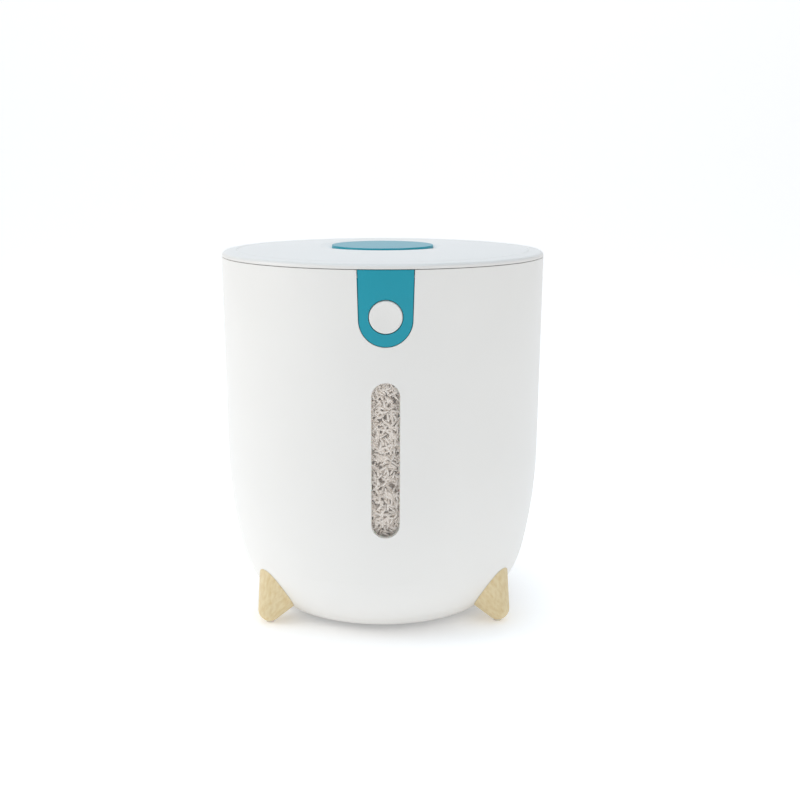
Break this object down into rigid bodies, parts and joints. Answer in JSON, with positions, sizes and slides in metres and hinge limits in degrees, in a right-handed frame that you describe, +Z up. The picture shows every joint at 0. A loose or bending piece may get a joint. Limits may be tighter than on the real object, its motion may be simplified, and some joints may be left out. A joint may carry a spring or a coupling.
{
  "type": "rice dispenser",
  "caption": "Round storage bin for rice with a hinged push-button lid, a twist-out drying cap, a tall level window and wooden feet.",
  "frame": {"origin": "on the floor, under the axis of the bucket", "axes": "+Z up, -Y to the front where the push button and the window are, +X to the right of someone facing the front"},
  "size_m": [0.255, 0.2586, 0.29],
  "materials": {
    "white_plastic": "satin moulded white polypropylene",
    "teal_plastic": "satin moulded teal ABS",
    "grey_plastic": "plain moulded grey acetal",
    "clear_plastic": "clear moulded styrene",
    "pale_wood": "sanded pale wood with a matt clear coat",
    "silicone": "soft translucent silicone",
    "steel": "zinc plated steel"
  },
  "bodies": {
    "bucket": {"bucket_shell": "white_plastic", "mouth_collar": "white_plastic", "window_pane": "clear_plastic", "window_seal": "silicone", "foot_front_left": "pale_wood", "foot_front_right": "pale_wood", "foot_rear": "pale_wood", "foot_pads": "silicone", "foot_screws": "steel", "latch_plate": "teal_plastic", "latch_housing": "white_plastic", "latch_screws": "steel", "latch_spring": "steel", "hinge_pin": "steel"},
    "button": {"latch_button": "white_plastic", "latch_catch": "grey_plastic"},
    "lid": {"lid_cover": "white_plastic", "lid_liner": "white_plastic", "lid_gasket": "silicone", "lid_hook": "grey_plastic", "lid_screws": "steel"},
    "cap": {"drying_cap": "teal_plastic", "cap_seal": "silicone", "drying_basket": "white_plastic"}
  },
  "joints": [
    {"name": "lid_hinge", "type": "hinge", "parent": "bucket", "child": "lid", "pos_m": [0, 0.1278, 0.2802], "axis": [-1, 0, 0], "range_deg": [0, 100]},
    {"name": "button_press", "type": "slide", "parent": "bucket", "child": "button", "axis": [0, 1, 0], "range_m": [0, 0.0025], "stiffness_N_per_m": 800, "springref_m": -0.002, "deforming": ["latch_spring"]},
    {"name": "cap_twist", "type": "hinge", "parent": "lid", "child": "cap", "pos_m": [0, 0, 0.2876], "axis": [0, 0, 1], "range_deg": [0, 45]}
  ]
}
